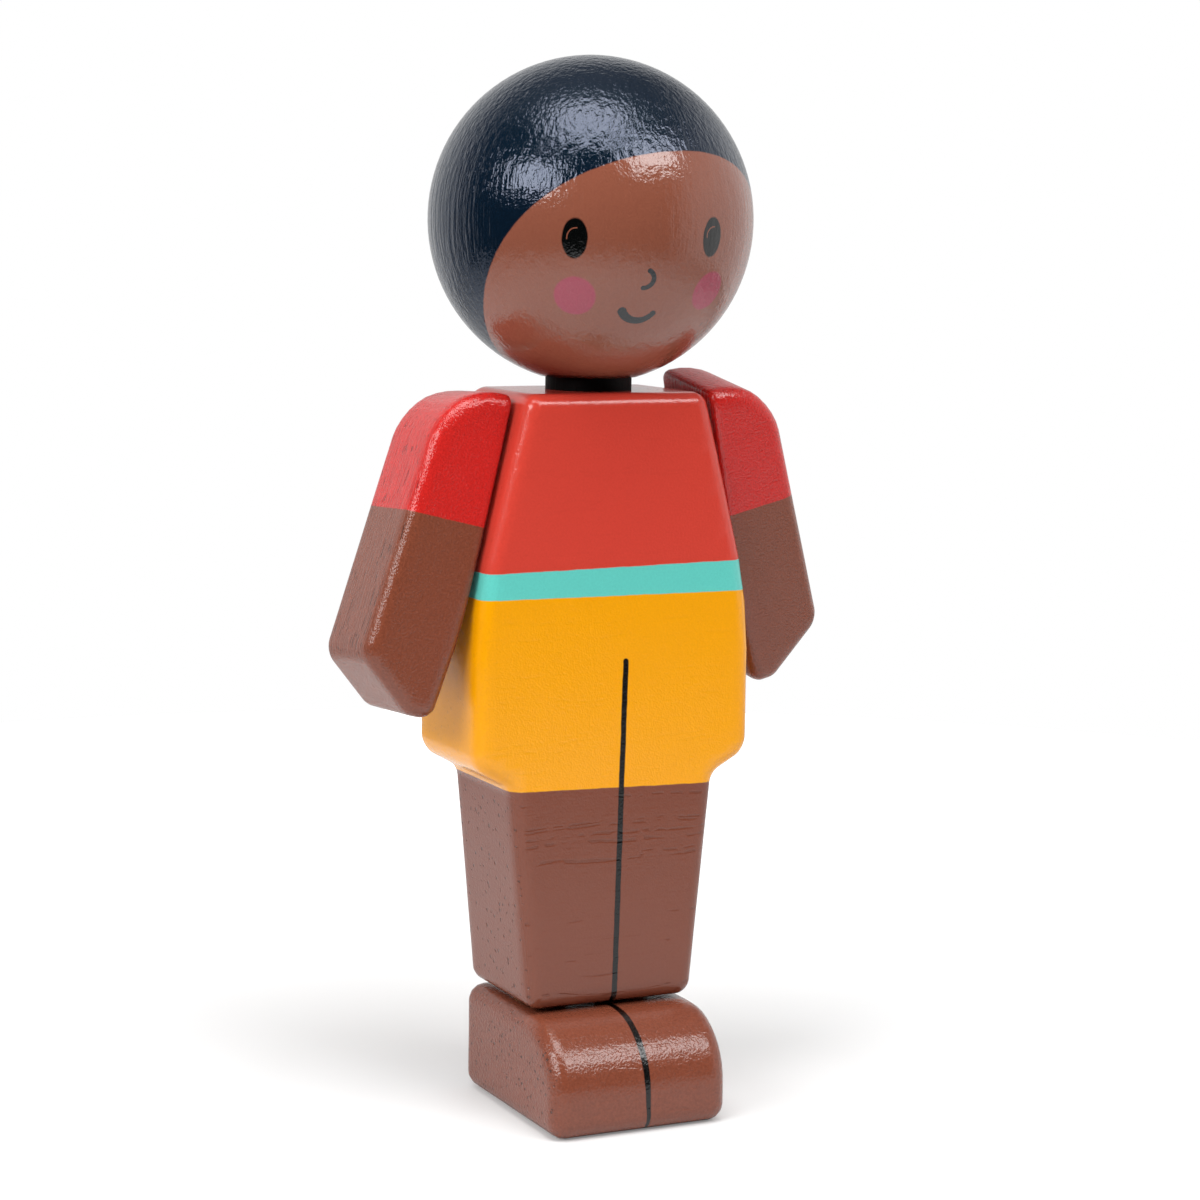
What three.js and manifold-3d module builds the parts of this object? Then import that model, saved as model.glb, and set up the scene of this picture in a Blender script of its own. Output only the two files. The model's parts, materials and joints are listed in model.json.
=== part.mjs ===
// Painted wooden toy figure, built as the bench would find it: one flat board for torso,
// hips and legs, a turned ball head and two arm blocks strung to it on elastic cord, and a
// foot block dowelled underneath.
// Millimetres, +Z up. The figure faces -Y and its right hand is at -X. The origin is on the
// ground, on the head's axis.
import * as THREE from 'three';
import { mergeVertices } from 'three/addons/utils/BufferGeometryUtils.js';
import loadManifold from 'manifold-3d';

const wasm = await loadManifold();
wasm.setup();

// Foot block
const footWidth = 17.8;
const footLength = 21;
const footHeight = 10.2;
const heelOverhang = 0.3;
const toeRadius = 6.6;
const footCornerRadius = 1.3;
const footEdgeRadius = 1.1;

// Body board, from the ankles up
const boardThickness = 14;
const ankleWidth = 16.8;
const legTopWidth = 20.8;
const legHeight = 21;
const hipStep = 2;
const hipWidth = 28;
const hipHeight = 14.2;
const torsoHeight = 19.6;
const shoulderWidth = 18;
const boardEdgeRadius = 1.3;
const ankleCornerRadius = 1.5;
const crotchRadius = 1.6;
const hipCornerRadius = 2.2;
const waistRadius = 36;
const shoulderCornerRadius = 1.5;

// Arm blocks, measured down from their tops and out from their flat inner faces
const armLength = 30.2;
const armThickness = 10;
const armTopFlat = 2.4;
const armShoulderWidth = 6.8;
const armShoulderDrop = 3.5;
const armHandWidth = 9;
const armTipHeight = 4.4;
const armTipWidth = 3.3;
const armEdgeRadius = 0.9;
const armTopRadius = 1;
const armShoulderRadius = 3.5;
const armHandRadius = 2.2;
const armTipRadius = 1.4;
const armInnerTipRadius = 1;
const armInnerSetback = 0.9;
const armInnerLeanHeight = 6.5;
const armInnerLeanRadius = 12;
const rightArmRise = 9.1;
const leftArmRise = 10.4;
const rightArmSwing = -2.9;
const leftArmSwing = 10.3;

// Head and neck
const headDiameter = 30;
const headLift = 0.5;
const neckDiameter = 8;
const neckInBody = 5;
const neckInHead = 7;
const headPlugLength = 4;

// Elastic cords, their knots, and the plugs and bores that hold them
const shoulderDrop = 9.3;
const shoulderCordDiameter = 1.8;
const crossBoreDiameter = 3.6;
const neckCordDiameter = 1.2;
const neckCordKnotDiameter = 4.4;
const armKnotDiameter = 2.8;
const armPlugDiameter = 4.8;
const armPlugLength = 2;

// Foot dowels
const dowelDiameter = 5;
const dowelSpacing = 8.4;
const dowelInFoot = 6;
const dowelInLeg = 8;
const dowelChamfer = 0.5;

// Clearances: glued seats, running fits, loose cords and the gaps that show
const glueGap = 0.1;
const runningGap = 0.15;
const cordGap = 0.3;
const footGap = 0.3;
const armGap = 0.35;

// Facets
const roundSides = 32;
const cordSides = 8;
const filletSteps = 3;
const arcSteps = 3;
const shoulderCordSteps = 24;
const neckCordSteps = 60;
const seamTolerance = 0.001;

// Places worked out from the sizes above
const ankleZ = footHeight + footGap;
const boardHeight = legHeight + hipStep + hipHeight + torsoHeight;
const boardTopZ = ankleZ + boardHeight;
const headZ = boardTopZ + headLift + headDiameter / 2;
const sideSlant = Math.atan((hipWidth - shoulderWidth) / 2 / torsoHeight);
const shoulderZ = boardTopZ - shoulderDrop;
const shoulderX = shoulderWidth / 2 + shoulderDrop * Math.tan(sideSlant);
const neckBoreBottomZ = boardTopZ - neckInBody - glueGap;
const neckTopZ = headZ - headDiameter / 2 + neckInHead;
const headPlugZ = neckTopZ + cordGap;
const neckKnotZ = headPlugZ + headPlugLength + cordGap + neckCordKnotDiameter / 2;
const headBoreTopZ = neckKnotZ + neckCordKnotDiameter / 2 + cordGap;
const headBoreDiameter = neckDiameter + 2 * runningGap;
const neckCordSpread = shoulderCordDiameter / 2 + cordGap + neckCordDiameter / 2;
const neckHoleDiameter = 2 * neckCordSpread + neckCordDiameter + 2 * cordGap;
const headPlugHoleDiameter = 2 * neckCordDiameter + 3 * cordGap;
const armPlugStart = cordGap;
const armKnotX = armPlugStart + armPlugLength + cordGap + armKnotDiameter / 2;
const armBoreDepth = armKnotX + armKnotDiameter / 2 + cordGap;

const degrees = Math.PI / 180;
const xAxis = new THREE.Vector3(1, 0, 0);
const yAxis = new THREE.Vector3(0, 1, 0);
const zAxis = new THREE.Vector3(0, 0, 1);

// A closed solid from a three.js geometry, with seam points merged and flat triangles dropped
function solid(geometry) {
  const bare = geometry.index ? geometry.toNonIndexed() : geometry.clone();
  bare.deleteAttribute('normal');
  bare.deleteAttribute('uv');
  const merged = mergeVertices(bare, seamTolerance);
  const triangles = [];
  for (let i = 0; i < merged.index.count; i += 3) {
    const [a, b, c] = [0, 1, 2].map((corner) => merged.index.getX(i + corner));
    if (a !== b && b !== c && c !== a) triangles.push(a, b, c);
  }
  const vertProperties = Float32Array.from(merged.attributes.position.array);
  const mesh = new wasm.Mesh({ numProp: 3, vertProperties, triVerts: Uint32Array.from(triangles) });
  return new wasm.Manifold(mesh);
}

// A named mesh from a solid
function piece(name, shape, material) {
  const { vertProperties, triVerts } = shape.getMesh();
  const geometry = new THREE.BufferGeometry();
  geometry.setAttribute('position', new THREE.BufferAttribute(vertProperties, 3));
  geometry.setIndex(new THREE.BufferAttribute(triVerts, 1));
  geometry.computeVertexNormals();
  const mesh = new THREE.Mesh(geometry, material);
  mesh.name = name;
  return mesh;
}

// A closed outline through corners given as [x, y, corner radius], walked anticlockwise
function roundedOutline(corners) {
  const outline = new THREE.Shape();
  corners.forEach(([x, y, radius], i) => {
    const [beforeX, beforeY] = corners[(i + corners.length - 1) % corners.length];
    const [afterX, afterY] = corners[(i + 1) % corners.length];
    const corner = new THREE.Vector2(x, y);
    const back = new THREE.Vector2(beforeX, beforeY).sub(corner).normalize();
    const ahead = new THREE.Vector2(afterX, afterY).sub(corner).normalize();
    const half = Math.acos(THREE.MathUtils.clamp(back.dot(ahead), -1, 1)) / 2;
    const start = back.clone().multiplyScalar(radius / Math.tan(half)).add(corner);
    const inward = back.clone().add(ahead).normalize();
    const centre = inward.multiplyScalar(radius / Math.sin(half)).add(corner);
    const end = ahead.clone().multiplyScalar(radius / Math.tan(half)).add(corner);
    const from = start.clone().sub(centre).angle();
    const to = end.clone().sub(centre).angle();
    const clockwise = back.cross(ahead) > 0;
    if (i === 0) outline.moveTo(start.x, start.y);
    else outline.lineTo(start.x, start.y);
    outline.absarc(centre.x, centre.y, radius, from, to, clockwise);
  });
  outline.closePath();
  return outline;
}

// A board cut to an outline, centred on its thickness, with its edges rounded over
function roundedBoard(outline, thickness, edgeRadius) {
  const geometry = new THREE.ExtrudeGeometry(outline, {
    depth: thickness - 2 * edgeRadius,
    bevelThickness: edgeRadius,
    bevelSize: edgeRadius,
    bevelOffset: -edgeRadius,
    bevelSegments: filletSteps,
    curveSegments: arcSteps,
  });
  return geometry.translate(0, 0, edgeRadius - thickness / 2);
}

// Stands a board up facing -Y: its outline's x stays x, and its y becomes z
function facingFront(geometry) {
  return geometry.applyMatrix4(new THREE.Matrix4().makeBasis(xAxis, zAxis, yAxis.clone().negate()));
}

// Stands a board up facing +X: its outline's x becomes y, and its y becomes z
function facingSide(geometry) {
  return geometry.applyMatrix4(new THREE.Matrix4().makeBasis(yAxis, zAxis, xAxis));
}

// A turned piece about +Z, from a profile of [radius, z] pairs
function turned(profile, sides = roundSides) {
  const points = profile.map(([radius, z]) => new THREE.Vector2(radius, z));
  return new THREE.LatheGeometry(points, sides).rotateX(Math.PI / 2);
}

// A plain cylinder between two heights on +Z
function rod(diameter, bottom, top) {
  const radius = diameter / 2;
  return turned([[0, bottom], [radius, bottom], [radius, top], [0, top]]);
}

// A tube wall between two heights on +Z
function sleeve(outerDiameter, innerDiameter, bottom, top) {
  const inner = innerDiameter / 2;
  const outer = outerDiameter / 2;
  return turned([[inner, bottom], [outer, bottom], [outer, top], [inner, top], [inner, bottom]]);
}

// A cylinder on +X between two places
function crossRod(diameter, start, end) {
  return rod(diameter, start, end).rotateY(Math.PI / 2);
}

// An elastic cord of round section along a curve
function cord(curve, diameter, steps) {
  const section = new THREE.Shape().absarc(0, 0, diameter / 2, 0, 2 * Math.PI);
  return new THREE.ExtrudeGeometry(section, {
    extrudePath: curve,
    steps,
    curveSegments: cordSides / 2,
    bevelEnabled: false,
  });
}

// A knot, as a small ball
function knot(diameter, place) {
  return new THREE.SphereGeometry(diameter / 2, 2 * cordSides, cordSides).translate(...place);
}

// The torso, hips and legs are one board, bored for the neck, both cords and the foot dowels
function bodySolid() {
  const rightSide = [
    [ankleWidth / 2, 0, ankleCornerRadius],
    [legTopWidth / 2, legHeight, crotchRadius],
    [hipWidth / 2, legHeight + hipStep, hipCornerRadius],
    [hipWidth / 2, legHeight + hipStep + hipHeight, waistRadius],
    [shoulderWidth / 2, boardHeight, shoulderCornerRadius],
  ];
  const leftSide = rightSide.toReversed().map(([x, y, radius]) => [-x, y, radius]);
  const outline = roundedOutline([...rightSide, ...leftSide]);
  const board = facingFront(roundedBoard(outline, boardThickness, boardEdgeRadius));
  const neckBore = rod(neckDiameter + 2 * glueGap, neckBoreBottomZ, boardTopZ + headLift);
  const cordWellBottom = shoulderZ - neckCordSpread - neckCordDiameter / 2 - 2 * cordGap;
  const cordWell = rod(neckHoleDiameter, cordWellBottom, boardTopZ);
  const crossBore = crossRod(crossBoreDiameter, -hipWidth / 2, hipWidth / 2).translate(0, 0, shoulderZ);
  const cuts = [neckBore, cordWell, crossBore, dowelBore(-1), dowelBore(1)];
  return cuts.reduce((rest, cut) => rest.subtract(solid(cut)), solid(board.translate(0, 0, ankleZ)));
}

// The bore for one foot dowel, through the joint between foot and leg
function dowelBore(side) {
  const bottom = footHeight - dowelInFoot - glueGap;
  const top = ankleZ + dowelInLeg + glueGap;
  return rod(dowelDiameter + 2 * glueGap, bottom, top).translate(side * dowelSpacing / 2, 0, 0);
}

// A chamfered dowel
function dowelSolid(side) {
  const radius = dowelDiameter / 2;
  const bottom = footHeight - dowelInFoot;
  const top = ankleZ + dowelInLeg;
  const profile = [
    [0, bottom],
    [radius - dowelChamfer, bottom],
    [radius, bottom + dowelChamfer],
    [radius, top - dowelChamfer],
    [radius - dowelChamfer, top],
    [0, top],
  ];
  return solid(turned(profile).translate(side * dowelSpacing / 2, 0, 0));
}

// Both feet are one block with a rounded toe
function footSolid() {
  const heelY = boardThickness / 2 + heelOverhang;
  const toeY = heelY - footLength;
  const outline = roundedOutline([
    [toeY, 0, footCornerRadius],
    [heelY, 0, footCornerRadius],
    [heelY, footHeight, footCornerRadius],
    [toeY, footHeight, toeRadius],
  ]);
  const block = facingSide(roundedBoard(outline, footWidth, footEdgeRadius));
  return [-1, 1].reduce((rest, side) => rest.subtract(solid(dowelBore(side))), solid(block));
}

// An arm in its own frame: the cord's axis is x, pointing out, and the arm hangs down -z
function armSolid(side, rise) {
  const outline = roundedOutline([
    [armInnerSetback, rise - armLength, armInnerTipRadius],
    [armTipWidth, rise - armLength, armTipRadius],
    [armHandWidth, rise - armLength + armTipHeight, armHandRadius],
    [armShoulderWidth, rise - armShoulderDrop, armShoulderRadius],
    [armTopFlat, rise, armShoulderRadius],
    [0, rise, armTopRadius],
    [0, rise - armLength + armInnerLeanHeight, armInnerLeanRadius],
  ]);
  const block = solid(facingFront(roundedBoard(outline, armThickness, armEdgeRadius)));
  const bore = solid(crossRod(armPlugDiameter + 2 * glueGap, -armBoreDepth, armBoreDepth));
  const arm = block.subtract(bore);
  return side > 0 ? arm : arm.mirror([1, 0, 0]);
}

// The plug that the arm's knot bears on
function armPlugSolid(side) {
  const hole = shoulderCordDiameter + 2 * cordGap;
  const plug = sleeve(armPlugDiameter, hole, armPlugStart, armPlugStart + armPlugLength);
  return solid(plug.rotateY(side * Math.PI / 2));
}

// The head is a ball with one blind bore from below
function headSolid() {
  const radius = headDiameter / 2;
  const boreRadius = headBoreDiameter / 2;
  const profile = [[0, headBoreTopZ - headZ], [boreRadius, headBoreTopZ - headZ]];
  const lowest = Math.asin(boreRadius / radius);
  for (let i = 0; i <= roundSides / 2; i += 1) {
    const angle = lowest + (Math.PI - lowest) * i / (roundSides / 2);
    profile.push([radius * Math.sin(angle), -radius * Math.cos(angle)]);
  }
  profile.at(-1)[0] = 0;
  return solid(turned(profile));
}

// The cord between the arms: out along each arm's axis, and straight through the body
function shoulderCordSolid() {
  const reach = armGap + armKnotX;
  const knots = [-1, 1].map((side) => [
    side * (shoulderX + reach * Math.cos(sideSlant)),
    0,
    shoulderZ + reach * Math.sin(sideSlant),
  ]);
  const mouths = [-1, 1].map((side) => [side * shoulderX, 0, shoulderZ]);
  const route = new THREE.CurvePath();
  const stops = [knots[0], mouths[0], mouths[1], knots[1]].map((place) => new THREE.Vector3(...place));
  for (let i = 1; i < stops.length; i += 1) route.add(new THREE.LineCurve3(stops[i - 1], stops[i]));
  const strand = solid(cord(route, shoulderCordDiameter, shoulderCordSteps));
  return knots.reduce((rest, place) => rest.add(solid(knot(armKnotDiameter, place))), strand);
}

// The cord that holds the head down: a loop under the shoulder cord, knotted above the head's plug
function neckCordSolid() {
  const together = (neckCordDiameter + cordGap) / 2;
  const strand = (side) => [
    [0, side * together, neckKnotZ],
    [0, side * together, headPlugZ],
    [0, side * neckCordSpread, neckBoreBottomZ],
    [0, side * neckCordSpread, shoulderZ],
  ];
  const under = [-0.5, 0, 0.5].map((share) => [
    0,
    neckCordSpread * Math.sin(share * Math.PI / 2),
    shoulderZ - neckCordSpread * Math.cos(share * Math.PI / 2),
  ]);
  const stops = [...strand(-1), ...under, ...strand(1).toReversed()];
  const points = stops.map((place) => new THREE.Vector3(...place));
  const route = new THREE.CatmullRomCurve3(points, false, 'centripetal');
  const loop = solid(cord(route, neckCordDiameter, neckCordSteps));
  return loop.add(solid(knot(neckCordKnotDiameter, [0, 0, neckKnotZ])));
}

const paint = (color, roughness) => new THREE.MeshStandardMaterial({ color, roughness, metalness: 0 });
const redPaint = paint('#c23a33', 0.4);
const brownPaint = paint('#80493a', 0.4);
const hairPaint = paint('#10212f', 0.25);
const blackStain = paint('#17171a', 0.45);
const bareWood = paint('#d9b98c', 0.7);
const elastic = paint('#e6e2d8', 0.8);

// One arm on its shoulder: the outer group leans with the body's side, the inner one swings
function shoulder(side, name, rise, swing) {
  const lean = new THREE.Group();
  const pivotX = shoulderX + armGap * Math.cos(sideSlant);
  lean.position.set(side * pivotX, 0, shoulderZ + armGap * Math.sin(sideSlant));
  lean.rotation.y = -side * sideSlant;
  const arm = new THREE.Group();
  arm.rotation.x = swing * degrees;
  arm.add(piece(name, armSolid(side, rise), redPaint));
  arm.add(piece(`${name}_plug`, armPlugSolid(side), bareWood));
  return lean.add(arm);
}

const neckPeg = sleeve(neckDiameter, neckHoleDiameter, neckBoreBottomZ + glueGap, neckTopZ);
const headPlugDiameter = headBoreDiameter - 2 * glueGap;
const headPlugTopZ = headPlugZ + headPlugLength;
const headPlug = sleeve(headPlugDiameter, headPlugHoleDiameter, headPlugZ, headPlugTopZ);
const headBall = piece('head_ball', headSolid(), hairPaint);
headBall.position.z = headZ;

const figure = new THREE.Group();
figure.add(piece('body_block', bodySolid(), redPaint));
figure.add(piece('foot_block', footSolid(), brownPaint));
figure.add(piece('right_foot_dowel', dowelSolid(-1), bareWood));
figure.add(piece('left_foot_dowel', dowelSolid(1), bareWood));
figure.add(piece('shoulder_cord', shoulderCordSolid(), elastic));
figure.add(piece('neck_cord', neckCordSolid(), elastic));
figure.add(piece('neck_peg', solid(neckPeg), blackStain));
figure.add(piece('head_plug', solid(headPlug), bareWood));
figure.add(headBall);
figure.add(shoulder(-1, 'right_arm', rightArmRise, rightArmSwing));
figure.add(shoulder(1, 'left_arm', leftArmRise, leftArmSwing));

export default figure;
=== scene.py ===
"""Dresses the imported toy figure: enamelled wooden blocks, a turned head, a floor and soft light.

Sizes are in millimetres until a piece is placed, and Blender's unit is the metre. The figure
faces -Y and its right hand is at -X.
"""
import json
import logging
import math
from dataclasses import dataclass, field
from enum import Enum
from itertools import pairwise
from typing import NamedTuple

import bmesh
import bpy
from mathutils import Euler, Matrix, Vector, noise


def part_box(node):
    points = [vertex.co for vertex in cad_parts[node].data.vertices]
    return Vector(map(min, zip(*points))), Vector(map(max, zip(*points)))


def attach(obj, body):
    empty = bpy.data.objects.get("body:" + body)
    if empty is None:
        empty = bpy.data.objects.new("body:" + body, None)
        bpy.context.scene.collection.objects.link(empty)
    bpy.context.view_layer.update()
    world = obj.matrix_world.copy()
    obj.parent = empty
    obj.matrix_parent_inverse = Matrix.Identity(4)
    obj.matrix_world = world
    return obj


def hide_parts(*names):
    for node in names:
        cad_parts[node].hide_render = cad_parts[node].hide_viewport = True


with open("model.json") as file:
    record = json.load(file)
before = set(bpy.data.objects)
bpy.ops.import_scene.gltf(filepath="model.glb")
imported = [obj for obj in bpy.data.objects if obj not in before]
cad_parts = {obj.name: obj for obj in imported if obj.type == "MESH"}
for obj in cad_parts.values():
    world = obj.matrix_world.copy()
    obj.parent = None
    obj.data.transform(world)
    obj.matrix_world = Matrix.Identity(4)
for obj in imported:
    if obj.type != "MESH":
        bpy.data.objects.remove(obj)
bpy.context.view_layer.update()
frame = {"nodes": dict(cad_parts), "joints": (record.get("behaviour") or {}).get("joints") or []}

LOG = logging.getLogger("toy_figure")
MM = 0.001
FAR = 1000.0
WHITE = "#ffffff"
BRUSH_EDGE = 0.05

Tree = bpy.types.NodeTree
Socket = bpy.types.NodeSocket
Shape = bmesh.types.BMesh
Colour = tuple[float, float, float, float]
Paint = Socket | Colour
Place = tuple[float, ...]


class Side(Enum):
    """An arm's side of the figure, by the sign of x there."""

    RIGHT = -1
    LEFT = 1


class Fibre(Enum):
    """The way the wood's fibres run in a piece's own frame, by axis number."""

    ACROSS = 0
    UPRIGHT = 2


@dataclass(frozen=True)
class Corner:
    """A corner of a sawn outline, with the radius it is sanded to."""

    x: float
    z: float
    radius: float


@dataclass(frozen=True)
class Band:
    """Paint above a line: its sRGB hex, the line's z at x 0 and its rise for each mm of x."""

    colour: str
    height: float
    tilt: float = 0.0


@dataclass(frozen=True)
class Stroke:
    """A brush stroke along an arc that hangs below its centre.

    It reaches half_angle degrees to each side of straight down. Half of its width is
    `starts` at the end towards -x and `ends` at the end towards +x.
    """

    radius: float
    half_angle: float
    starts: float
    ends: float


class Fade(NamedTuple):
    """A brightness that changes evenly between two places and holds its ends beyond them."""

    start: float
    stop: float
    low: float
    high: float


def linear(code: str) -> Colour:
    """Turns an sRGB hex colour to linear light.

    Args:
        code: the colour as #rrggbb.

    Returns:
        Red, green, blue and a full alpha.
    """
    shares = [int(code[i:i + 2], 16) / 255 for i in (1, 3, 5)]
    low_end, slope, offset, power = 0.04045, 12.92, 0.055, 2.4
    light = [s / slope if s <= low_end else ((s + offset) / (1 + offset)) ** power for s in shares]
    return (*light, 1.0)


def add(tree: Tree, kind: str, inputs: dict | None = None, **settings) -> bpy.types.Node:
    """Adds one shader node with its settings, values and links.

    Args:
        tree: the material's or world's node tree.
        kind: the node's type, without the ShaderNode prefix.
        inputs: a value, or a socket to link, for each input by name or number.
        **settings: the node's own options.

    Returns:
        The new node.
    """
    node = tree.nodes.new(f"ShaderNode{kind}")
    for name, value in settings.items():
        setattr(node, name, value)
    for socket, value in (inputs or {}).items():
        if isinstance(value, bpy.types.NodeSocket):
            tree.links.new(value, node.inputs[socket])
        else:
            node.inputs[socket].default_value = value
    return node


def calc(tree: Tree, operation: str, *values: Socket | float) -> Socket:
    """Adds one sum on numbers, by its name and what goes in, and gives the result."""
    return add(tree, "Math", dict(enumerate(values)), operation=operation).outputs[0]


def vector_calc(tree: Tree, operation: str, *values: Socket | tuple | Vector) -> list[Socket]:
    """Adds one sum on vectors, in the way of calc.

    Returns:
        The result as a vector, and as a number for sums that give one.
    """
    return list(add(tree, "VectorMath", dict(enumerate(values)), operation=operation).outputs)


def ramp(
    tree: Tree, value: Socket, start: float, stop: float, low: float = 0.0, high: float = 1.0
) -> Socket:
    """Turns a span of a value into another span, and holds the ends beyond it.

    Args:
        tree: the node tree.
        value: what goes in.
        start: where its span starts.
        stop: where its span ends.
        low: what the start gives.
        high: what the end gives.

    Returns:
        The result.
    """
    return add(tree, "MapRange", {0: value, 1: start, 2: stop, 3: low, 4: high}).outputs[0]


def blend(tree: Tree, share: Socket, under: Paint, over: Paint) -> Socket:
    """Covers the colour that is already there by another, by a share from 0 to 1."""
    return add(tree, "Mix", {0: share, 6: under, 7: over}, data_type="RGBA").outputs[2]


def ripple(tree: Tree, place: Socket, size: float, detail: float) -> list[Socket]:
    """Adds a smooth random pattern by the size of its figures, as a number and a colour."""
    inputs = {"Vector": place, "Scale": 1 / size, "Detail": detail}
    return list(add(tree, "TexNoise", inputs).outputs)


def blank_tree(owner: bpy.types.Material | bpy.types.World) -> Tree:
    """Gives a material or world an empty node tree, and returns that."""
    owner.use_nodes = True
    owner.node_tree.nodes.clear()
    return owner.node_tree


def rotation(degrees: float, axis: str) -> Matrix:
    """Gives a turn about an axis."""
    return Matrix.Rotation(math.radians(degrees), 4, axis)


def box_mm(node: str) -> tuple[Vector, Vector]:
    """Gives a CAD node's lowest and highest corners in millimetres."""
    low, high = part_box(node)
    return Vector(low) / MM, Vector(high) / MM


def round_edges(shape: Shape, edges: list, offset: float, segments: int) -> None:
    """Rounds edges over, from an offset to each side of them and with so many facets."""
    bmesh.ops.bevel(
        shape, geom=edges, offset=offset, offset_type="OFFSET", segments=segments,
        profile=0.5, affect="EDGES", material=-1, clamp_overlap=False,
    )


def sawn_block(front: list[Corner], back: list[Corner], near: float, far: float) -> Shape:
    """Saws a block to an outline in x and z and sands its corners.

    Args:
        front: the outline on the near face.
        back: the outline on the far face, corner for corner.
        near: y of the near face.
        far: y of the far face.

    Returns:
        The block as a closed shape.
    """
    shape = bmesh.new()
    face = shape.faces.new([shape.verts.new((c.x, near, c.z)) for c in front])
    near_verts = list(face.verts)
    bmesh.ops.extrude_face_region(shape, geom=[face])
    uprights = []
    for vert, corner in zip(near_verts, back):
        upright = next(e for e in vert.link_edges if e.other_vert(vert) not in near_verts)
        upright.other_vert(vert).co = (corner.x, far, corner.z)
        uprights.append(upright)
    bmesh.ops.recalc_face_normals(shape, faces=shape.faces)
    facet = math.radians(9)
    for i, corner in enumerate(front):
        before, after = front[i - 1], front[(i + 1) % len(front)]
        inward = Vector((before.x - corner.x, before.z - corner.z))
        onward = Vector((after.x - corner.x, after.z - corner.z))
        opening = inward.angle(onward)
        segments = max(2, round((math.pi - opening) / facet))
        round_edges(shape, [uprights[i]], corner.radius / math.tan(opening / 2), segments)
    return shape


def round_rim(shape: Shape, centre: Vector, radius: float, segments: int = 4) -> None:
    """Rounds over the edges round the flat face nearest to a place.

    Args:
        shape: the block.
        centre: a place on the flat face.
        radius: the radius of the rounding.
        segments: the number of facets across it.
    """
    cap = max(
        (f for f in shape.faces if abs((f.calc_center_median() - centre).dot(f.normal)) < MM),
        key=lambda f: f.calc_area(),
    )
    round_edges(shape, list(cap.edges), radius, segments)


def hand_sand(shape: Shape, spacing: float = 1.0, depth: float = 0.03) -> None:
    """Cuts flat faces into small ones and gives them the slight waves of hand sanding.

    Args:
        shape: the block.
        spacing: the size of the small faces.
        depth: how far the sanding goes below the sawn face at most.
    """
    wave, sliver = 5.0, 0.06
    for axis in range(3):
        places = [v.co[axis] for v in shape.verts]
        normal = Matrix.Identity(3)[axis].copy()
        for step in range(1, math.ceil((max(places) - min(places)) / spacing)):
            geometry = [*shape.verts, *shape.edges, *shape.faces]
            level = normal * (min(places) + step * spacing)
            bmesh.ops.bisect_plane(shape, geom=geometry, dist=MM, plane_co=level, plane_no=normal)
    bmesh.ops.remove_doubles(shape, verts=shape.verts, dist=sliver)
    shape.normal_update()
    for vert in shape.verts:
        vert.co -= vert.normal * depth * (1 + noise.noise(vert.co / wave)) / 2


def turn_profile(profile: list[tuple[float, float]], steps: int = 96) -> Shape:
    """Turns a profile of radius and height on the lathe.

    Args:
        profile: the profile's points, from one end on the axis or round a closed section.
        steps: the number of facets round the axis.

    Returns:
        The turned shape, closed and facing outwards.
    """
    shape = bmesh.new()
    verts = [shape.verts.new((radius, 0, z)) for radius, z in profile]
    edges = [shape.edges.new(pair) for pair in pairwise(verts)]
    bmesh.ops.spin(
        shape, geom=[*verts, *edges], axis=(0, 0, 1), cent=(0, 0, 0),
        angle=2 * math.pi, steps=steps, use_merge=True,
    )
    bmesh.ops.remove_doubles(shape, verts=shape.verts, dist=MM)
    bmesh.ops.recalc_face_normals(shape, faces=shape.faces)
    return shape


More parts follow.
